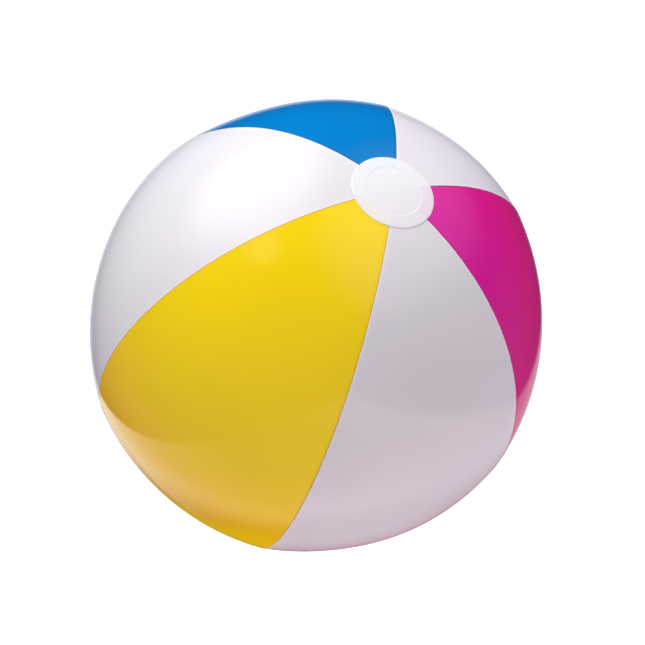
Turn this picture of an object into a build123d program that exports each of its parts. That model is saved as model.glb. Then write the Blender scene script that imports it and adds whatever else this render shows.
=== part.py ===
from build123d import *

import os
from math import pi, sqrt, tan

# Inflatable beach ball: six film panels, two end discs and a push-in mouth valve.
# Millimetres, +Z up. The origin is the centre of the ball, +Z points to the blank end disc
# and the valve is at the bottom pole, so "outward" at the valve is -Z.

# ---- Driving dimensions -----------------------------------------------------------------
PANEL_LENGTH = 610.0      # flat length of one panel from pole to pole (a 24 inch ball)
STRETCH = 1.03            # how much the film has grown under pressure
PANEL_COUNT = 6
FILM = 0.25               # panel film thickness
FLATNESS = 0.11           # how far each panel's cross arc is flattened, as a part of the radius
POLAR_STRETCH = 1.03      # height of the poles over the radius at the equator
LAP_WIDTH = 5.0           # welded lap under the neighbouring panel
LAP_ROOT = 1.5            # the part of the lap that lies under its own panel
LAP_WELD = 0.1            # how deep the lap root is sunk into its own panel

SEAT_RADIUS = 3.25        # bore that grips the pump nozzle; the valve is sized from it
MOUTH_STEP = 0.65         # how much wider the mouth is, to take the plug's pin
STEM_WALL = 1.1           # wall around the mouth
STEM_LENGTH = 16.0
LIP_OVERHANG = 1.2
LIP_THICKNESS = 2.0
MOUTH_DEPTH = 4.8

PLUG_RECESS = 0.5         # how far the closed plug lies inside the ball's skin
HEAD_THICKNESS = 1.8
PIN_LENGTH = 4.4
PIN_TAPER = 0.9           # loss of radius from the pin's root to its tip
PIN_CLEARANCE = 0.1
TAB_LENGTH = 3.3          # finger tab, from the rim of the plug's head
TAB_WIDTH = 5.0
TAB_CLEARANCE = 2.5       # finger room between the tab and the hole in the disc

STRAP_WIDTH = 2.2
STRAP_THICKNESS = 0.9
STRAP_REACH = 1.2         # from the rim of the plug to the strap's bending line
STRAP_BITE = 0.4          # how far the strap's ends run in before they are cut to the rims

FLAP_MARGIN = 0.4         # the flap is this much smaller than the stem all round
FLAP_THICKNESS = 0.4
FLAP_EAR_WIDTH = 4.0

FLANGE_WIDTH = 6.5
FLANGE_THICKNESS = 1.0
MEMBRANE_HEIGHT = 1.0     # membrane thickness measured along Z
TIP_GAP = 5.3             # between the flange and the panels' tips
DISC_LAP = 10.2           # how far the end discs lie over the panels' tips
END_DISC_FILM = 0.3

EDGE_ROUND = 0.4
PIN_TIP_ROUND = 0.6

# ---- Derived sizes ----------------------------------------------------------------------
RADIUS = PANEL_LENGTH * STRETCH / (pi * (1 + POLAR_STRETCH) / 2)  # at the middle of each panel
POLE_HEIGHT = RADIUS * POLAR_STRETCH
AXIS_SHIFT = FLATNESS * RADIUS                # each panel turns about an axis this far behind
PANEL_ANGLE = 360 / PANEL_COUNT
BEYOND = 1.3 * RADIUS                         # safely past the ball in any direction

MOUTH_RADIUS = SEAT_RADIUS + MOUTH_STEP
STEM_RADIUS = MOUTH_RADIUS + STEM_WALL
LIP_RADIUS = STEM_RADIUS + LIP_OVERHANG
HEAD_RADIUS = LIP_RADIUS
TAB_REACH = HEAD_RADIUS + TAB_LENGTH
FLAP_RADIUS = STEM_RADIUS - FLAP_MARGIN
VALVE_HOLE_RADIUS = TAB_REACH + TAB_CLEARANCE
FLANGE_RADIUS = VALVE_HOLE_RADIUS + FLANGE_WIDTH
TIP_RADIUS = FLANGE_RADIUS + TIP_GAP          # the panels stop on this circle at each pole
END_DISC_RADIUS = TIP_RADIUS + DISC_LAP

LIP_TOP = -POLE_HEIGHT + PLUG_RECESS + HEAD_THICKNESS   # the stem's outer face, under the plug
STEM_END = LIP_TOP + STEM_LENGTH
HEAD_TOP = LIP_TOP - HEAD_THICKNESS
BEND_X = -(HEAD_RADIUS + STRAP_REACH)
FLANGE_INNER_Z = -POLAR_STRETCH * sqrt(RADIUS**2 - VALVE_HOLE_RADIUS**2)  # skin at the hole

PANELS = [
    ("panel_yellow", 0),
    ("panel_white_lower", 1),
    ("panel_magenta", 2),
    ("panel_white_right", 3),
    ("panel_blue", 4),
    ("panel_white_left", 5),
]


def save(solid, name):
    """Label one finished piece and write it as its own STEP file."""
    solid.label = name
    export_step(solid, f"parts/{name}.step")


def revolve_skin(outer, inner):
    """Revolve the panel's meridian arc about the axis that lies behind the ball's centre."""
    sweep_start = Plane(
        origin=(-AXIS_SHIFT, 0, 0),
        x_dir=Vector(1, 0, 0).rotate(Axis.Z, -PANEL_ANGLE / 2),
        z_dir=Vector(0, -1, 0).rotate(Axis.Z, -PANEL_ANGLE / 2),
    )
    with BuildSketch(sweep_start) as meridian:
        with Locations((AXIS_SHIFT, 0)):
            Ellipse(outer, outer * POLAR_STRETCH)
            Ellipse(inner, inner * POLAR_STRETCH, mode=Mode.SUBTRACT)
            Rectangle(BEYOND, 2 * BEYOND, align=(Align.MIN, Align.CENTER), mode=Mode.INTERSECT)
    turning_axis = Axis((-AXIS_SHIFT, 0, 0), (0, 0, 1))
    revolve(meridian.sketch, axis=turning_axis, revolution_arc=PANEL_ANGLE)


def keep_sector():
    """Keep only what lies between the two seam planes of the panel that faces +X."""
    half_width = 1.5 * BEYOND * tan(pi / PANEL_COUNT)
    with BuildSketch(Plane.XY) as sector:
        Polygon((0, 0), (1.5 * BEYOND, -half_width), (1.5 * BEYOND, half_width), align=None)
    extrude(sector.sketch, amount=BEYOND, both=True, mode=Mode.INTERSECT)


def keep_strip(seam_angle, width, side):
    """Keep a strip of this width beside the seam plane, on the side that `side` names."""
    with BuildSketch(Plane.XY.rotated((0, 0, seam_angle))) as strip:
        Rectangle(BEYOND, width, align=(Align.MIN, side))
    extrude(strip.sketch, amount=BEYOND, both=True, mode=Mode.INTERSECT)


def cut_tips():
    """Stop the film on the tip circle around each pole."""
    Cylinder(TIP_RADIUS, 2 * BEYOND, mode=Mode.SUBTRACT)


def keep_ring(outer, inner, z_side):
    """Keep the part of the skin between two radii at the pole that z_side names."""
    with BuildSketch(Plane.XY) as ring:
        Circle(outer)
        if inner > 0:
            Circle(inner, mode=Mode.SUBTRACT)
    extrude(ring.sketch, amount=z_side * BEYOND, mode=Mode.INTERSECT)


os.makedirs("parts", exist_ok=True)

# ---- Film panels ------------------------------------------------------------------------
with BuildPart() as panel_film:
    revolve_skin(RADIUS, RADIUS - FILM)
    keep_sector()
    cut_tips()

with BuildPart() as lap_root:
    revolve_skin(RADIUS - FILM + LAP_WELD, RADIUS - 2 * FILM)
    keep_strip(PANEL_ANGLE / 2, LAP_ROOT, Align.MAX)
    cut_tips()

with BuildPart() as lap_strip:
    revolve_skin(RADIUS - FILM, RADIUS - 2 * FILM)
    keep_strip(-PANEL_ANGLE / 2, LAP_WIDTH, Align.MIN)
    cut_tips()

with BuildPart() as panel:
    add(panel_film.part)
    add(lap_root.part)
    add(lap_strip.part, rotation=(0, 0, PANEL_ANGLE))

for panel_name, step in PANELS:
    with BuildPart() as turned_panel:
        add(panel.part, rotation=(0, 0, step * PANEL_ANGLE))
    save(turned_panel.part, panel_name)

# ---- End discs, welded over the panels' tips ----------------------------------------------
with BuildPart() as top_disc_sector:
    revolve_skin(RADIUS + END_DISC_FILM, RADIUS)
    keep_sector()
    keep_ring(END_DISC_RADIUS, 0, 1)

with BuildPart() as top_end_disc:
    for step in range(PANEL_COUNT):
        add(top_disc_sector.part, rotation=(0, 0, step * PANEL_ANGLE))
save(top_end_disc.part, "top_end_disc")

with BuildPart() as valve_disc_sector:
    revolve_skin(RADIUS + END_DISC_FILM, RADIUS)
    keep_sector()
    keep_ring(END_DISC_RADIUS, VALVE_HOLE_RADIUS, -1)

with BuildPart() as valve_end_disc:
    for step in range(PANEL_COUNT):
        add(valve_disc_sector.part, rotation=(0, 0, step * PANEL_ANGLE))
save(valve_end_disc.part, "valve_end_disc")

# ---- Valve: flange under the disc, then the membrane that turns inside out -----------------
with BuildPart() as flange_sector:
    revolve_skin(RADIUS, RADIUS - FLANGE_THICKNESS)
    keep_sector()
    keep_ring(FLANGE_RADIUS, VALVE_HOLE_RADIUS, -1)

with BuildPart() as valve_flange:
    for step in range(PANEL_COUNT):
        add(flange_sector.part, rotation=(0, 0, step * PANEL_ANGLE))
save(valve_flange.part, "valve_flange")

with BuildPart() as valve_membrane:
    with BuildSketch(Plane.XZ):
        Polygon(
            (VALVE_HOLE_RADIUS, FLANGE_INNER_Z),
            (VALVE_HOLE_RADIUS, FLANGE_INNER_Z + MEMBRANE_HEIGHT),
            (STEM_RADIUS, STEM_END),
            (STEM_RADIUS, STEM_END - MEMBRANE_HEIGHT),
            align=None,
        )
    revolve(axis=Axis.Z)
save(valve_membrane.part, "valve_membrane")

# ---- Valve stem with its lip, mouth and nozzle seat -----------------------------------------
with BuildPart() as valve_stem:
    with BuildSketch(Plane.XY.offset(LIP_TOP)):
        Circle(LIP_RADIUS)
    extrude(amount=LIP_THICKNESS)
    fillet(valve_stem.edges().filter_by(GeomType.CIRCLE), EDGE_ROUND)
    with BuildSketch(Plane.XY.offset(LIP_TOP)):
        Circle(STEM_RADIUS)
    extrude(amount=STEM_LENGTH)
    with BuildSketch(Plane.XY.offset(LIP_TOP)):
        Circle(MOUTH_RADIUS)
    extrude(amount=MOUTH_DEPTH, mode=Mode.SUBTRACT)
    with BuildSketch(Plane.XY.offset(LIP_TOP)):
        Circle(SEAT_RADIUS)
    extrude(amount=STEM_LENGTH, mode=Mode.SUBTRACT)
save(valve_stem.part, "valve_stem")

# ---- Plug: head with a finger tab, and a tapered pin ----------------------------------------
with BuildPart() as valve_plug:
    with BuildSketch(Plane.XY.offset(HEAD_TOP)):
        Circle(HEAD_RADIUS)
    extrude(amount=HEAD_THICKNESS)
    with BuildSketch(Plane.XY.offset(HEAD_TOP)):
        with Locations((TAB_REACH - TAB_WIDTH / 2, 0)):
            Circle(TAB_WIDTH / 2)
        Rectangle(TAB_REACH - TAB_WIDTH / 2, TAB_WIDTH, align=(Align.MIN, Align.CENTER))
    extrude(amount=HEAD_THICKNESS)
    outer_face = valve_plug.faces().sort_by(Axis.Z)[0]
    fillet(outer_face.edges(), EDGE_ROUND)
    pin_root = MOUTH_RADIUS - PIN_CLEARANCE
    with BuildSketch(Plane.XZ):
        Polygon(
            (0, LIP_TOP),
            (pin_root, LIP_TOP),
            (pin_root - PIN_TAPER, LIP_TOP + PIN_LENGTH),
            (0, LIP_TOP + PIN_LENGTH),
            align=None,
        )
    revolve(axis=Axis.Z)
    pin_tip = valve_plug.edges().filter_by(GeomType.CIRCLE).sort_by(Axis.Z)[-1]
    fillet(pin_tip, PIN_TIP_ROUND)
save(valve_plug.part, "valve_plug")

# ---- Strap between the stem's lip and the plug, folded into a U when closed ------------------
strap_low = LIP_TOP + LIP_THICKNESS / 2       # middle of the lip
strap_high = HEAD_TOP + HEAD_THICKNESS / 2    # middle of the head
bend_radius = (strap_low - strap_high) / 2
bend_z = (strap_low + strap_high) / 2
with BuildPart() as plug_tether:
    with BuildSketch(Plane.XZ):
        with Locations((BEND_X, bend_z)):
            Circle(bend_radius + STRAP_THICKNESS / 2)
            Circle(bend_radius - STRAP_THICKNESS / 2, mode=Mode.SUBTRACT)
            Rectangle(BEYOND, BEYOND, align=(Align.MIN, Align.CENTER), mode=Mode.SUBTRACT)
        for leg_z in (strap_low, strap_high):
            with Locations((BEND_X, leg_z)):
                Rectangle(
                    STRAP_REACH + STRAP_BITE,
                    STRAP_THICKNESS,
                    align=(Align.MIN, Align.CENTER),
                )
    extrude(amount=STRAP_WIDTH / 2, both=True)
    add(valve_stem.part, mode=Mode.SUBTRACT)
    add(valve_plug.part, mode=Mode.SUBTRACT)
save(plug_tether.part, "plug_tether")

# ---- Check flap that lies on the stem's inner end -------------------------------------------
with BuildPart() as check_flap:
    with BuildSketch(Plane.XY.offset(STEM_END)):
        Circle(FLAP_RADIUS)
        with Locations((-STEM_RADIUS, 0)):
            Rectangle(STEM_RADIUS, FLAP_EAR_WIDTH, align=(Align.MIN, Align.CENTER))
    extrude(amount=FLAP_THICKNESS)
save(check_flap.part, "check_flap")
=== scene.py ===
import math

import bmesh
import bpy
import numpy as np
from mathutils import Matrix, Vector


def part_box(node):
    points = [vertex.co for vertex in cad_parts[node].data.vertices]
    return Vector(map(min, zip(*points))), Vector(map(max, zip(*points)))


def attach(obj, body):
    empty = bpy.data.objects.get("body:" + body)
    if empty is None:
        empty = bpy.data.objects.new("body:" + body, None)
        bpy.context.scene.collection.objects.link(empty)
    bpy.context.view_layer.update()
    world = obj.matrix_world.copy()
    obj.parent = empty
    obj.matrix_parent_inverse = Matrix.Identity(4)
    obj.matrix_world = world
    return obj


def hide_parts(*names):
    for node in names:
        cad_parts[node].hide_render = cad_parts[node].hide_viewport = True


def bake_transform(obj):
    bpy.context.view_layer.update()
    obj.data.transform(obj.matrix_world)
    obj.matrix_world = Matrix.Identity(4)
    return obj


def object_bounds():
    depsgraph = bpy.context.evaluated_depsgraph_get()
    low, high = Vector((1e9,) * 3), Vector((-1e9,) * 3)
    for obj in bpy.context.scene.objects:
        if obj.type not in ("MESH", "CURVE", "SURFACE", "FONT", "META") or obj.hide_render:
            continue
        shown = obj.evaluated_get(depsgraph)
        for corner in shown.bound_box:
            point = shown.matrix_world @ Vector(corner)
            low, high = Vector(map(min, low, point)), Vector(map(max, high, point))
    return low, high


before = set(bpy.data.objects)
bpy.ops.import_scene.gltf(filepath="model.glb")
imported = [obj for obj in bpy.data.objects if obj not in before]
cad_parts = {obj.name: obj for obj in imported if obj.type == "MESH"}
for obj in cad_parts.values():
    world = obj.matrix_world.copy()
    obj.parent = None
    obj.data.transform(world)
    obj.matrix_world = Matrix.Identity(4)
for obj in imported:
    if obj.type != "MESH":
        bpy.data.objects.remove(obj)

cad_low, cad_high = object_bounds()

# ---- Sizes, all read from the frame or given in metres -------------------------------------
MM = 0.001
PANEL_COUNT = 6
HALF_PANEL = math.pi / PANEL_COUNT
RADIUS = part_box("panel_yellow")[1].x               # panel radius along its middle
DISC_FILM = 0.3 * MM
POLE_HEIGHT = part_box("top_end_disc")[1].z * RADIUS / (RADIUS + DISC_FILM)
FLATNESS = 0.11                                    # as in the CAD panels
AXIS_SHIFT = FLATNESS * RADIUS
DISC_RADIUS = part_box("top_end_disc")[1].x
HOLE_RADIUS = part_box("valve_membrane")[1].x
STEM_RADIUS = 5.0 * MM
FILM = 0.25 * MM
DISC_LAP = 10.2 * MM                               # how far a disc reaches past the panels' tips
TIP_RADIUS = DISC_RADIUS - DISC_LAP
MEMBRANE_WALL = 0.45 * MM
STRAP_HALF_WIDTH = 1.1 * MM
STRAP_HALF_THICK = 0.45 * MM

# Camera: the ball's polar axis leans away to the right in its view. Its angles and distance are the
# result of a least-squares fit of the ball's outline and seams to the photo.
CAMERA_AZIMUTH = 101.76
CAMERA_ELEVATION = 53.21
CAMERA_ROLL = 29.97
CAMERA_DISTANCE = 6.839 * RADIUS
LENS = 85.2
SHIFT = (0.0103, 0.0052)

PANELS = [
    # node, step round the axis, colour slot
    ("panel_yellow", 0, "yellow_film"),
    ("panel_white_lower", 1, "white_film"),
    ("panel_magenta", 2, "magenta_film"),
    ("panel_white_right", 3, "white_film"),
    ("panel_blue", 4, "blue_film"),
    ("panel_white_left", 5, "white_film"),
]


# ---- Camera ----------------------------------------------------------------------------------
def camera_axes():
    """Right, up and back vectors of the camera in the row frame."""
    azimuth, elevation = math.radians(CAMERA_AZIMUTH), math.radians(CAMERA_ELEVATION)
    back = Vector((
        math.sin(azimuth) * math.cos(elevation),
        -math.cos(azimuth) * math.cos(elevation),
        math.sin(elevation),
    ))
    level = Vector((0, 0, 1)).cross(back).normalized()
    upright = back.cross(level)
    roll = math.radians(CAMERA_ROLL)
    right = level * math.cos(roll) + upright * math.sin(roll)
    up = upright * math.cos(roll) - level * math.sin(roll)
    return right, up, back


def make_camera():
    right, up, back = camera_axes()
    data = bpy.data.cameras.new("camera")
    data.lens = LENS
    data.shift_x, data.shift_y = SHIFT
    data.clip_start, data.clip_end = 0.01, 50
    camera = bpy.data.objects.new("camera", data)
    bpy.context.scene.collection.objects.link(camera)
    turn = Matrix((right, up, back)).transposed().to_4x4()
    camera.matrix_world = Matrix.Translation(back * CAMERA_DISTANCE) @ turn
    bpy.context.scene.camera = camera


# ---- The skin's shape --------------------------------------------------------------------------
UNEVEN = [
    # azimuth, latitude, half width in degrees and height in mm of the skin's gentle uneven places
    (172, 44, 20, 2.2),
    (253, 29, 22, -4.2),
    (48, -22, 18, -1.5),
    (330, -48, 26, 1.6),
    (110, -40, 22, -1.4),
]


def unevenness(azimuth, polar):
    """Height of the gentle dents and bulges that a hand-blown ball has."""
    height = np.zeros(np.broadcast(azimuth, polar).shape)
    for place, latitude, spread, size in UNEVEN:
        tilt = math.radians(90 - latitude)
        near = np.cos(polar) * math.cos(tilt)
        near = near + np.sin(polar) * math.sin(tilt) * np.cos(azimuth - math.radians(place))
        away = np.degrees(np.arccos(np.clip(near, -1, 1)))
        height = height + size * MM * np.exp(-((away / spread) ** 2))
    return height


def skin_point(azimuth, polar, lift):
    """Point on the blown-up skin, from arrays of azimuth, polar angle and lift (metres outward)."""
    lift = lift + unevenness(azimuth, polar)
    across = np.mod(azimuth + HALF_PANEL, 2 * HALF_PANEL) - HALF_PANEL
    middle = RADIUS * np.sin(polar)
    shifted = AXIS_SHIFT * np.cos(across)
    level = np.sqrt(shifted**2 + middle**2 + 2 * middle * AXIS_SHIFT) - shifted
    point = np.stack(
        [level * np.cos(azimuth), level * np.sin(azimuth), POLE_HEIGHT * np.cos(polar)], -1
    )
    outward = point / np.linalg.norm(point, axis=-1, keepdims=True)
    return point + outward * np.asarray(lift)[..., None]


def smooth(low, high, value):
    """Smooth step from 0 at low to 1 at high."""
    t = np.clip((value - low) / (high - low), 0, 1)
    return t * t * (3 - 2 * t)


def polar_at(level):
    """Polar angle where the middle of a panel is this far from the axis."""
    return math.asin(level / RADIUS)


def grid_faces(rows, columns, wrap=False):
    """Quads between neighbouring points of a grid."""
    faces = []
    last = columns if wrap else columns - 1
    for i in range(rows - 1):
        for j in range(last):
            k = (j + 1) % columns
            faces.append((i * columns + j, i * columns + k, (i + 1) * columns + k, (i + 1) * columns + j))
    return faces


def mesh_object(name, points, faces, attributes=()):
    """A smooth-shaded object from arrays, with per-point values for its material."""
    mesh = bpy.data.meshes.new(name)
    mesh.from_pydata([tuple(p) for p in points.reshape(-1, 3)], [], faces)
    for key, values in attributes:
        layer = mesh.attributes.new(key, "FLOAT", "POINT")
        layer.data.foreach_set("value", np.asarray(values, np.float32).ravel())
    mesh.shade_smooth()
    mesh.update()
    obj = bpy.data.objects.new(name, mesh)
    bpy.context.scene.collection.objects.link(obj)
    return obj


def face_outward(obj):
    """Turn all faces so that they look away from the ball's centre."""
    work = bmesh.new()
    work.from_mesh(obj.data)
    work.faces.ensure_lookup_table()
    middle = work.faces[len(work.faces) // 2]
    if middle.normal.dot(middle.calc_center_median()) < 0:
        bmesh.ops.reverse_faces(work, faces=work.faces)
    work.to_mesh(obj.data)
    work.free()


def thicken(obj, thickness):
    """Give a sheet its film thickness, inward, with real edges."""
    solid = obj.modifiers.new("film", "SOLIDIFY")
    solid.thickness = thickness
    solid.offset = -1
    solid.use_even_offset = True


# ---- Panels ------------------------------------------------------------------------------------
LAP_WIDTH = 5.0 * MM
LAP_DROP = 0.2 * MM
STEP_UP = 0.08 * MM
PANEL_COLUMNS = 56
PANEL_ROWS = 190
LAP_COLUMNS = 4
COLUMNS_TO_SEAMS = 0.22                            # how much closer the columns stand beside the seams
RIPPLE = 0.05 * MM
RIPPLE_LENGTH = 12 * MM
RIPPLE_REACH = 16 * MM
SEAM_RIPPLE = (0.5, 0.8, 1.8, 1.5, 0.7, 0.3)       # how strongly each seam puckers


def seam_ripple(seam, gap, polar):
    """Small puckers that cross a seam and die out away from it."""
    along = RADIUS * polar / RIPPLE_LENGTH * 2 * math.pi
    wave = np.sin(along + 1.7 * np.sin(0.31 * along + seam) + 2.1 * seam)
    return SEAM_RIPPLE[seam % PANEL_COUNT] * RIPPLE * wave * np.exp(-gap / RIPPLE_REACH)


def panel_lift(left, right, polar, step):
    """Lift of the skin over its plain shape: the raised left edge and the puckers of both seams."""
    raised = STEP_UP * (1 - smooth(0.5 * LAP_WIDTH, 1.5 * LAP_WIDTH, left))
    return raised + seam_ripple(step, left, polar) + seam_ripple(step + 1, right, polar)


def make_panel(name, step):
    """One film panel. Its left edge lies on the next panel's lap and its right edge runs on under it."""
    centre = step * 2 * HALF_PANEL
    polar = np.linspace(polar_at(TIP_RADIUS), math.pi - polar_at(TIP_RADIUS), PANEL_ROWS)[:, None]
    t = np.linspace(0, 1, PANEL_COLUMNS)
    even = 2 * t - 1
    across = (even + COLUMNS_TO_SEAMS * np.sin(math.pi * even))[None, :]
    across = across * np.ones_like(polar)
    width = HALF_PANEL * RADIUS * np.sin(polar) * np.ones_like(across)   # half, along the skin
    left = (1 + across) * width
    right = (1 - across) * width
    lift = panel_lift(left, right, polar, step)
    body = skin_point(centre + across * HALF_PANEL, polar * np.ones_like(across), lift)
    edge = np.minimum(left, right) / MM
    # the lap that runs on under the neighbour
    reach = np.linspace(0, LAP_WIDTH, LAP_COLUMNS + 1)[1:][None, :] * np.ones_like(polar)
    turn = reach / (RADIUS * np.sin(polar))
    drop = seam_ripple(step + 1, reach, polar) - LAP_DROP * smooth(0, 0.2 * LAP_WIDTH, reach)
    lap = skin_point(centre + HALF_PANEL + turn, polar * np.ones_like(turn), drop)
    points = np.concatenate([body, lap], 1)
    edge = np.concatenate([edge, np.zeros_like(reach)], 1)
    columns = PANEL_COLUMNS + LAP_COLUMNS
    obj = mesh_object(name + "_film", points, grid_faces(PANEL_ROWS, columns), [("seam_mm", edge)])
    face_outward(obj)
    thicken(obj, FILM)
    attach(obj, "ball")
    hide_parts(name)
    return obj


# ---- End discs -----------------------------------------------------------------------------------
DISC_COLUMNS = 192
STEP_OVER_TIPS = 0.2 * MM
RING_HEIGHT = 0.07 * MM
RING_WIDTH = 0.5 * MM
DISC_COLOUR = (0.86, 0.86, 0.87)
DISC_TINTS = {0: (0.89, 0.87, 0.80), 2: (0.86, 0.78, 0.83), 4: (0.79, 0.85, 0.91)}   # by panel step


def tint_places(azimuth):
    """Angle from the middle of each coloured panel, under the name of its tint."""
    places = []
    for step in DISC_TINTS:
        away = np.mod(azimuth - step * 2 * HALF_PANEL + math.pi, 2 * math.pi) - math.pi
        places.append((f"from_panel_{step}", np.abs(away)))
    return places


def disc_radii(inner):
    """Radii of the disc's rings of points, closer together at the tips' edge and at the rim."""
    radii = list(np.linspace(inner, TIP_RADIUS - 2.2 * MM, 14))
    radii += list(np.linspace(TIP_RADIUS - 1.6 * MM, TIP_RADIUS + 1.6 * MM, 9))
    radii += list(np.linspace(TIP_RADIUS + 2.2 * MM, DISC_RADIUS - 0.6 * MM, 10))
    return radii + [DISC_RADIUS - 0.3 * MM, DISC_RADIUS - 0.1 * MM, DISC_RADIUS]


def make_disc(name, pole, inner):
    """Disc film over the panels' tips, with its weld ring and rounded rim. pole is 1 on top, -1 below."""
    radii = np.array(disc_radii(inner))[:, None]
    azimuth = np.linspace(0, 2 * math.pi, DISC_COLUMNS, endpoint=False)[None, :]
    level = radii * np.ones_like(azimuth)
    across = np.mod(azimuth + HALF_PANEL, 2 * HALF_PANEL) - HALF_PANEL
    # the panel-middle distance whose skin is this far out at this azimuth
    shifted = AXIS_SHIFT * np.cos(across)
    middle = np.sqrt(AXIS_SHIFT**2 + level**2 + 2 * shifted * level) - AXIS_SHIFT
    on_tips = smooth(TIP_RADIUS - 0.9 * MM, TIP_RADIUS + 0.3 * MM, level)
    ring = np.exp(-(((level - TIP_RADIUS) / RING_WIDTH) ** 2))
    rim = 1 - smooth(DISC_RADIUS - 0.5 * MM, DISC_RADIUS, level)
    lift = DISC_FILM * (0.35 + 0.65 * rim) + STEP_OVER_TIPS * on_tips + RING_HEIGHT * ring
    polar = np.arcsin(np.clip(middle / RADIUS, 0, 1))
    if pole < 0:
        polar = math.pi - polar
    points = skin_point(azimuth * np.ones_like(level), polar, lift)
    faces = grid_faces(len(radii), DISC_COLUMNS, wrap=True)
    if inner < 0.1 * MM:
        points[0] = points[0].mean(0)
    places = tint_places(azimuth * np.ones_like(level))
    obj = mesh_object(name + "_film", points, faces, [("level_mm", level / MM), *places])
    if inner < 0.1 * MM:
        work = bmesh.new()
        work.from_mesh(obj.data)
        bmesh.ops.remove_doubles(work, verts=work.verts, dist=1e-6)
        work.to_mesh(obj.data)
        work.free()
    face_outward(obj)
    thicken(obj, DISC_FILM)
    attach(obj, "ball")
    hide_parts(name)
    return obj


# ---- Valve membrane and tether -----------------------------------------------------------------
def make_membrane():
    """Thin rolled cone between the flange and the stem's inner end."""
    rows, columns = 40, 96
    rolls, roll_height = 4.5, 0.12 * MM
    t = np.linspace(0, 1, rows)[:, None]
    azimuth = np.linspace(0, 2 * math.pi, columns, endpoint=False)[None, :]
    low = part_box("valve_membrane")[0].z + 0.4 * MM
    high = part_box("valve_stem")[1].z - 0.6 * MM
    level = HOLE_RADIUS + (STEM_RADIUS - HOLE_RADIUS) * smooth(0.0, 1.0, t) * np.ones_like(azimuth)
    level = level + roll_height * np.sin(t * rolls * 2 * math.pi)
    height = low + (high - low) * t * np.ones_like(azimuth)
    points = np.stack([level * np.cos(azimuth), level * np.sin(azimuth), height], -1)
    obj = mesh_object("valve_membrane_skin", points, grid_faces(rows, columns, wrap=True))
    solid = obj.modifiers.new("skin", "SOLIDIFY")
    solid.thickness = MEMBRANE_WALL
    solid.offset = 0
    bpy.context.view_layer.objects.active = obj
    bpy.ops.object.modifier_apply(modifier="skin")
    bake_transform(obj)
    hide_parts("valve_membrane")
    return obj


def make_tether():
    """Flat strap folded in a U between the stem's lip and the plug's head."""
    low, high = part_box("plug_tether")
    x_out, x_in = low.x, high.x
    z_plug = low.z + STRAP_HALF_THICK
    z_lip = high.z - STRAP_HALF_THICK
    bend = (z_lip - z_plug) / 2
    bend_x = x_out + STRAP_HALF_THICK + bend
    path = [(x_in, z_plug), (x_in - 0.5 * (x_in - bend_x), z_plug)]
    for i in range(13):
        angle = -math.pi / 2 - math.pi * i / 12
        path.append((bend_x + bend * math.cos(angle), (z_plug + z_lip) / 2 + bend * math.sin(angle)))
    path += [(x_in - 0.5 * (x_in - bend_x), z_lip), (x_in, z_lip)]
    around = 16
    points = np.zeros((len(path), around, 3))
    for i, (x, z) in enumerate(path):
        before, after = path[max(i - 1, 0)], path[min(i + 1, len(path) - 1)]
        along = Vector((after[0] - before[0], 0, after[1] - before[1])).normalized()
        normal = Vector((-along.z, 0, along.x))
        for j in range(around):
            angle = 2 * math.pi * j / around
            c, s = math.cos(angle), math.sin(angle)
            y = STRAP_HALF_WIDTH * math.copysign(abs(c) ** 0.5, c)
            n = STRAP_HALF_THICK * math.copysign(abs(s) ** 0.6, s)
            points[i, j] = (x + normal.x * n, y, z + normal.z * n)
    faces = grid_faces(len(path), around, wrap=True)
    faces.append(tuple(range(around)))
    faces.append(tuple(range((len(path) - 1) * around, len(path) * around))[::-1])
    obj = mesh_object("plug_tether_strap", points, faces)
    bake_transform(obj)
    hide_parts("plug_tether")
    return obj


# ---- Materials -------------------------------------------------------------------------------------
PLASTIC_IOR = 1.5
FILM_ROUGHNESS = 0.06


class Nodes:
    """Short helpers to build a node material around one Principled shader."""

    def __init__(self, name):
        self.material = bpy.data.materials.new(name)
        self.material.use_nodes = True
        self.tree = self.material.node_tree
        self.shader = next(n for n in self.tree.nodes if n.type == "BSDF_PRINCIPLED")

    def add(self, kind, **settings):
        node = self.tree.nodes.new(kind)
        for key, value in settings.items():
            setattr(node, key, value)
        return node

    def link(self, source, target):
        self.tree.links.new(source, target)

    def attribute(self, name):
        return self.add("ShaderNodeAttribute", attribute_name=name).outputs["Fac"]

    def map_range(self, value, low, high, to_low=0.0, to_high=1.0):
        node = self.add("ShaderNodeMapRange", interpolation_type="SMOOTHSTEP")
        self.link(value, node.inputs["Value"])
        sockets = ("From Min", "From Max", "To Min", "To Max")
        for key, number in zip(sockets, (low, high, to_low, to_high)):
            node.inputs[key].default_value = number
        return node.outputs["Result"]

    def math(self, operation, a, b):
        node = self.add("ShaderNodeMath", operation=operation)
        for socket, value in zip(node.inputs, (a, b)):
            if isinstance(value, (int, float)):
                socket.default_value = value
            else:
                self.link(value, socket)
        return node.outputs[0]

    def mix(self, factor, a, b):
        node = self.add("ShaderNodeMix", data_type="RGBA")
        for socket, value in ((node.inputs[0], factor), (node.inputs[6], a), (node.inputs[7], b)):
            if isinstance(value, (int, float)):
                socket.default_value = value
            elif isinstance(value, tuple):
                socket.default_value = (*value, 1)
            else:
                self.link(value, socket)
        return node.outputs[2]

    def noise(self, scale, detail):
        place = self.add("ShaderNodeTexCoord").outputs["Object"]
        node = self.add("ShaderNodeTexNoise")
        node.inputs["Scale"].default_value = scale
        node.inputs["Detail"].default_value = detail
        self.link(place, node.inputs["Vector"])
        return node.outputs["Fac"]

    def bump(self, height, strength, distance):
        node = self.add("ShaderNodeBump")
        node.inputs["Strength"].default_value = strength
        node.inputs["Distance"].default_value = distance
        self.link(height, node.inputs["Height"])
        self.link(node.outputs["Normal"], self.shader.inputs["Normal"])


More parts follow.
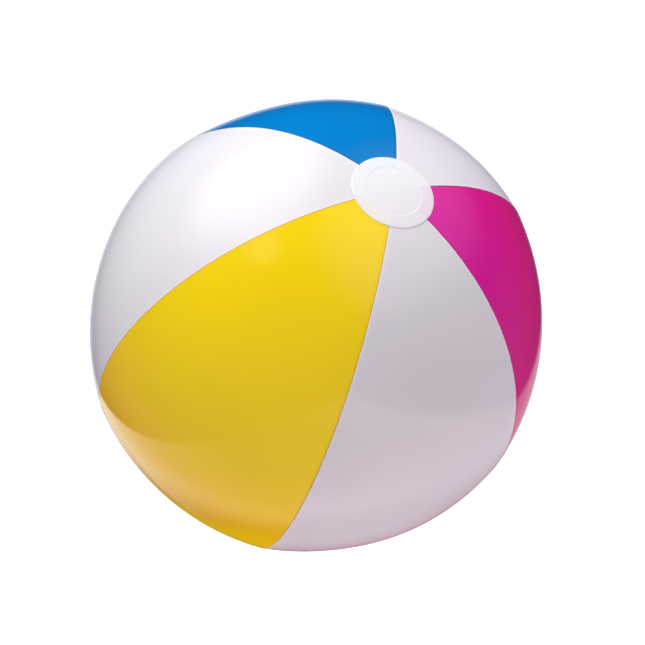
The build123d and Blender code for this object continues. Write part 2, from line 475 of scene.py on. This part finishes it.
def film_material(name, colour, painted_slant_shade, seam_line_and_highlight, weld_band_and_highlight):
    """Glossy vinyl film: slow drift, painted shade as a deeper colour towards the outline, a line at the
    seam edge and a weld strip beside it; on white film the line and the strip are painted highlights.
    """
    m = Nodes(name)
    seam = m.attribute("seam_mm")
    drift = m.map_range(m.noise(9.0, 3.0), 0.3, 0.7)
    body = m.mix(drift, colour, tuple(0.965 * c for c in colour))
    # Painted shade: the colour turns deeper and darker towards the outline, as the facing weight grows.
    facing = m.add("ShaderNodeLayerWeight").outputs["Facing"]
    body = m.mix(m.map_range(facing, 0.2, 0.75), body, painted_slant_shade)
    # Strip beside the seam: the weld strip's colour on the coloured films, a painted highlight on white
    # film.
    in_band = m.map_range(seam, 1.2, 3.4, 1.0, 0.0)
    body = m.mix(m.math("MULTIPLY", in_band, 0.6), body, weld_band_and_highlight)
    # Line at the seam edge: darker on the coloured films, a painted highlight on white film.
    at_edge = m.map_range(seam, 0.3, 0.9, 1.0, 0.0)
    body = m.mix(at_edge, body, seam_line_and_highlight)
    m.link(body, m.shader.inputs["Base Color"])
    grain = m.noise(60.0, 4.0)
    rough = m.map_range(grain, 0.3, 0.7, FILM_ROUGHNESS, FILM_ROUGHNESS + 0.02)
    rough = m.math("ADD", rough, m.math("MULTIPLY", in_band, 0.06))
    m.link(rough, m.shader.inputs["Roughness"])
    m.shader.inputs["IOR"].default_value = PLASTIC_IOR
    return m.material


def disc_material():
    """Milky film, opaque here: pale tints outside the weld ring stand for the panels' tips under it."""
    m = Nodes("milky_film")
    soft_turn, soft_level = 0.012, 0.3
    level = m.attribute("level_mm")
    outside_ring = m.map_range(level, TIP_RADIUS / MM - soft_level, TIP_RADIUS / MM + soft_level)
    body = DISC_COLOUR
    for step, tint in DISC_TINTS.items():
        away = m.attribute(f"from_panel_{step}")
        inside = m.map_range(away, HALF_PANEL - soft_turn, HALF_PANEL + soft_turn, 1.0, 0.0)
        body = m.mix(m.math("MULTIPLY", inside, outside_ring), body, tint)
    m.link(body, m.shader.inputs["Base Color"])
    rough = m.map_range(m.noise(80.0, 3.0), 0.3, 0.7, 0.10, 0.16)
    m.link(rough, m.shader.inputs["Roughness"])
    m.shader.inputs["IOR"].default_value = PLASTIC_IOR
    return m.material


def valve_material():
    """Soft pale moulding, opaque here, with a fine moulded grain."""
    m = Nodes("soft_moulding")
    drift = m.map_range(m.noise(220.0, 3.0), 0.3, 0.7)
    m.link(m.mix(drift, (0.80, 0.80, 0.79), (0.74, 0.75, 0.75)), m.shader.inputs["Base Color"])
    m.link(m.map_range(m.noise(900.0, 2.0), 0.3, 0.7, 0.24, 0.34), m.shader.inputs["Roughness"])
    m.shader.inputs["IOR"].default_value = PLASTIC_IOR
    m.bump(m.noise(1400.0, 2.0), 0.25, 0.0001)
    return m.material


# ---- Light and floor ---------------------------------------------------------------------------------
# Normals of the planes through the sweep's two straight edges, as right, up and back
LEFT_SWEEP_EDGE = (-0.483, 0.797, 0.364)
RIGHT_SWEEP_EDGE = (0.418, 0.851, 0.317)


def make_world():
    """Soft studio surround: bright above, dim band in front, white sweep below; white to the camera."""
    right, up, back = camera_axes()
    world = bpy.data.worlds.new("studio")
    world.use_nodes = True
    bpy.context.scene.world = world
    tree = world.node_tree
    tree.nodes.clear()

    def add(kind, **settings):
        node = tree.nodes.new(kind)
        for key, value in settings.items():
            setattr(node, key, value)
        return node

    def dot(direction):
        node = add("ShaderNodeVectorMath", operation="DOT_PRODUCT")
        tree.links.new(direction_out, node.inputs[0])
        node.inputs[1].default_value = direction
        return node.outputs["Value"]

    def ramp(value, low, high, to_low=0.0, to_high=1.0):
        node = add("ShaderNodeMapRange", interpolation_type="SMOOTHSTEP")
        sockets = ("Value", "From Min", "From Max", "To Min", "To Max")
        for key, item in zip(sockets, (value, low, high, to_low, to_high)):
            if isinstance(item, (int, float)):
                node.inputs[key].default_value = item
            else:
                tree.links.new(item, node.inputs[key])
        return node.outputs["Result"]

    def times(a, b):
        node = add("ShaderNodeMath", operation="MULTIPLY")
        tree.links.new(a, node.inputs[0])
        tree.links.new(b, node.inputs[1])
        return node.outputs[0]

    def scale(colour, factor):
        node = add("ShaderNodeVectorMath", operation="SCALE")
        tree.links.new(colour, node.inputs[0])
        tree.links.new(factor, node.inputs["Scale"])
        return node.outputs["Vector"]

    def across_axes(parts):
        return right * parts[0] + up * parts[1] + back * parts[2]

    def towards(*parts):
        return across_axes(parts).normalized()

    def blend(factor, a, b):
        node = add("ShaderNodeMix", data_type="RGBA")
        tree.links.new(factor, node.inputs[0])
        for socket, value in ((node.inputs[6], a), (node.inputs[7], b)):
            if isinstance(value, tuple):
                socket.default_value = (*value, 1)
            else:
                tree.links.new(value, socket)
        return node.outputs[2]

    direction_out = add("ShaderNodeTexCoord").outputs["Generated"]
    sideways = dot(right)
    height = dot(up)
    depth = dot(back)
    # dim room, darker towards the ceiling and behind the ball
    colour = blend(ramp(height, -1.15, 0.75), (0.52, 0.47, 0.56), (0.02, 0.02, 0.022))
    colour = scale(colour, ramp(depth, -0.9, -0.25, 0.3, 1.0))
    # large soft box above and to the left, two weak ones to the right and a small one in front
    key = dot(towards(-0.45, 0.86, 0.23))
    colour = blend(ramp(key, 0.82, 1.0), colour, (2.6, 2.65, 2.45))
    second = dot(towards(0.62, 0.78, 0.1))
    colour = blend(ramp(second, 0.80, 1.06), colour, (0.75, 0.75, 0.8))
    window = dot(towards(0.5, 0.5, 0.7))
    colour = blend(ramp(window, 0.8, 1.02), colour, (1.0, 0.95, 1.05))
    small = dot(towards(-0.41, 0.53, 0.75))
    colour = blend(ramp(small, 0.985, 0.998), colour, (0.7, 0.7, 0.7))
    # white sweep below, cut off by two straight edges, dimmer in its middle, and the ball's shade on it
    sweep_left = blend(ramp(depth, -0.95, -0.2), (1.25, 1.25, 1.15), (1.15, 1.0, 0.75))
    sweep_right = blend(ramp(depth, -0.6, 0.1), (0.60, 0.55, 0.57), (1.55, 1.35, 1.25))
    sweep = blend(ramp(sideways, -0.35, 0.35), sweep_left, sweep_right)
    dim = dot(towards(-0.2, -0.9, 0.35))
    sweep = blend(ramp(dim, 0.72, 0.97), sweep, (0.70, 0.63, 0.60))
    shade = dot(towards(0.05, -0.65, -0.76))
    sweep = blend(ramp(shade, 0.80, 0.96), sweep, (0.10, 0.05, 0.05))
    left_edge = ramp(dot(across_axes(LEFT_SWEEP_EDGE)), -0.211, -0.231)
    right_edge = ramp(dot(across_axes(RIGHT_SWEEP_EDGE)), -0.110, -0.170)
    colour = blend(times(left_edge, right_edge), colour, sweep)
    # white wall far behind, hidden to the right and below, where only its last sliver shows
    wall = times(ramp(depth, -0.88, -0.96), ramp(sideways, 0.42, 0.1))
    colour = blend(times(wall, ramp(height, -0.32, -0.12)), colour, (0.72, 0.70, 0.80))
    sliver = times(ramp(depth, -0.965, -0.985), ramp(height, -0.2, -0.05))
    colour = blend(sliver, colour, (0.75, 0.72, 0.82))
    # glow of the film's own colours from below: yellow to the left, red elsewhere
    near_yellow = times(ramp(sideways, -0.34, -0.2), ramp(sideways, -0.03, -0.09))
    near_yellow = times(near_yellow, ramp(height, -0.12, -0.3))
    near_yellow = times(near_yellow, times(ramp(depth, -0.6, -0.8), ramp(depth, -0.985, -0.94)))
    glow = times(ramp(depth, -0.84, -0.93), ramp(height, -0.16, -0.34))
    colour = blend(glow, colour, (0.30, 0.04, 0.09))
    colour = blend(near_yellow, colour, (0.40, 0.38, 0.02))

    studio = add("ShaderNodeBackground")
    tree.links.new(colour, studio.inputs["Color"])
    plain = add("ShaderNodeBackground")
    plain.inputs["Color"].default_value = (1, 1, 1, 1)
    seen = add("ShaderNodeLightPath")
    choose = add("ShaderNodeMixShader")
    tree.links.new(seen.outputs["Is Camera Ray"], choose.inputs[0])
    tree.links.new(studio.outputs[0], choose.inputs[1])
    tree.links.new(plain.outputs[0], choose.inputs[2])
    out = add("ShaderNodeOutputWorld")
    tree.links.new(choose.outputs[0], out.inputs["Surface"])
    world.cycles_visibility.diffuse = False


def make_lamps():
    """Very soft lamps that light the film; its reflections come from the surround alone."""
    right, up, back = camera_axes()
    lamps = [
        # The list started as the result of a least-squares fit to the film's colours in the photo,
        # and all its strengths and some of its directions were then changed.
        # name, where it stands as right, up and back, and its colour times its strength
        ("overhead_left", (-0.38, 0.87, 0.32), (0.59, 0.64, 0.58)),
        ("left_high", (-0.57, 0.79, 0.22), (0.35, 0.32, 0.39)),
        ("front", (0.0, 0.6, 0.8), (0.45, 0.40, 0.45)),
        ("wall_behind", (0.0, 0.5, -0.87), (0.50, 0.49, 0.54)),
        ("wall_right", (0.7, 0.4, -0.59), (0.55, 0.51, 0.58)),
        ("bounce_right", (0.35, -0.87, -0.35), (0.36, 0.30, 0.35)),
        ("bounce_behind", (0.0, -0.87, -0.5), (0.49, 0.43, 0.45)),
        ("bounce_left", (-0.18, -0.95, -0.25), (0.17, 0.14, 0.16)),
        ("bounce_front", (0.35, -0.87, 0.2), (0.27, 0.235, 0.26)),
    ]
    for name, (x, y, z), colour in lamps:
        data = bpy.data.lights.new(name, "SUN")
        data.angle = math.radians(90)
        data.color = [c / max(colour) for c in colour]
        data.energy = math.pi * max(colour)
        lamp = bpy.data.objects.new(name, data)
        towards = right * x + up * y + back * z
        lamp.rotation_euler = towards.to_track_quat("Z", "Y").to_euler()
        lamp.visible_glossy = False
        bpy.context.scene.collection.objects.link(lamp)


def make_floor():
    """Plain pale floor, seen only by the camera from above, so that it throws no colour on the ball."""
    half_side = 4.0
    work = bmesh.new()
    bmesh.ops.create_grid(work, x_segments=8, y_segments=8, size=half_side)
    mesh = bpy.data.meshes.new("floor")
    work.to_mesh(mesh)
    work.free()
    floor = bpy.data.objects.new("floor", mesh)
    floor.location.z = cad_low.z - 0.5 * MM
    bpy.context.scene.collection.objects.link(floor)
    m = Nodes("pale_floor")
    m.shader.inputs["Base Color"].default_value = (0.85, 0.85, 0.86, 1)
    m.shader.inputs["Roughness"].default_value = 0.9
    m.shader.inputs["Emission Color"].default_value = (1, 1, 1, 1)
    m.shader.inputs["Emission Strength"].default_value = 1.0
    from_below = m.add("ShaderNodeNewGeometry").outputs["Backfacing"]
    m.link(m.math("SUBTRACT", 1.0, from_below), m.shader.inputs["Alpha"])
    mesh.materials.append(m.material)
    floor.visible_diffuse = False
    floor.visible_glossy = False
    floor.visible_transmission = False
    floor.visible_shadow = False


# ---- Build ---------------------------------------------------------------------------------------------
FILM_COLOURS = {
    # The first yellow, magenta and blue came from a fit to the photo's colours and were then changed.
    # slot: colour, painted shade towards the outline, line at the seam edge (painted highlight on white),
    # strip beside the seam (weld strip; painted highlight on white)
    "yellow_film": ((1.0, 0.745, 0.002), (0.98, 0.60, 0.002), (0.60, 0.28, 0.002), (0.96, 0.68, 0.004)),
    "magenta_film": ((0.73, 0.008, 0.36), (0.76, 0.006, 0.24), (0.36, 0.002, 0.12), (0.74, 0.01, 0.30)),
    "blue_film": ((0.0, 0.205, 0.55), (0.0, 0.20, 0.54), (0.0, 0.08, 0.30), (0.0, 0.17, 0.47)),
    # White film: its seam line and the strip beside it are painted highlights, lighter than its body.
    "white_film": ((0.80, 0.79, 0.80), (0.78, 0.77, 0.80), (0.90, 0.89, 0.90), (0.84, 0.83, 0.84)),
}


def paint(obj, material):
    obj.data.materials.clear()
    obj.data.materials.append(material)


make_camera()
make_world()
make_lamps()
make_floor()

films = {slot: film_material(slot, *colours) for slot, colours in FILM_COLOURS.items()}
for node_name, node_step, film_slot in PANELS:
    paint(make_panel(node_name, node_step), films[film_slot])

milky = disc_material()
paint(make_disc("top_end_disc", 1, 0.0), milky)
paint(make_disc("valve_end_disc", -1, HOLE_RADIUS), milky)

moulding = valve_material()
paint(make_membrane(), moulding)
paint(make_tether(), moulding)
for node_name in ("valve_flange", "valve_stem", "valve_plug", "check_flap"):
    paint(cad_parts[node_name], moulding)

bpy.context.scene.view_settings.view_transform = "Standard"
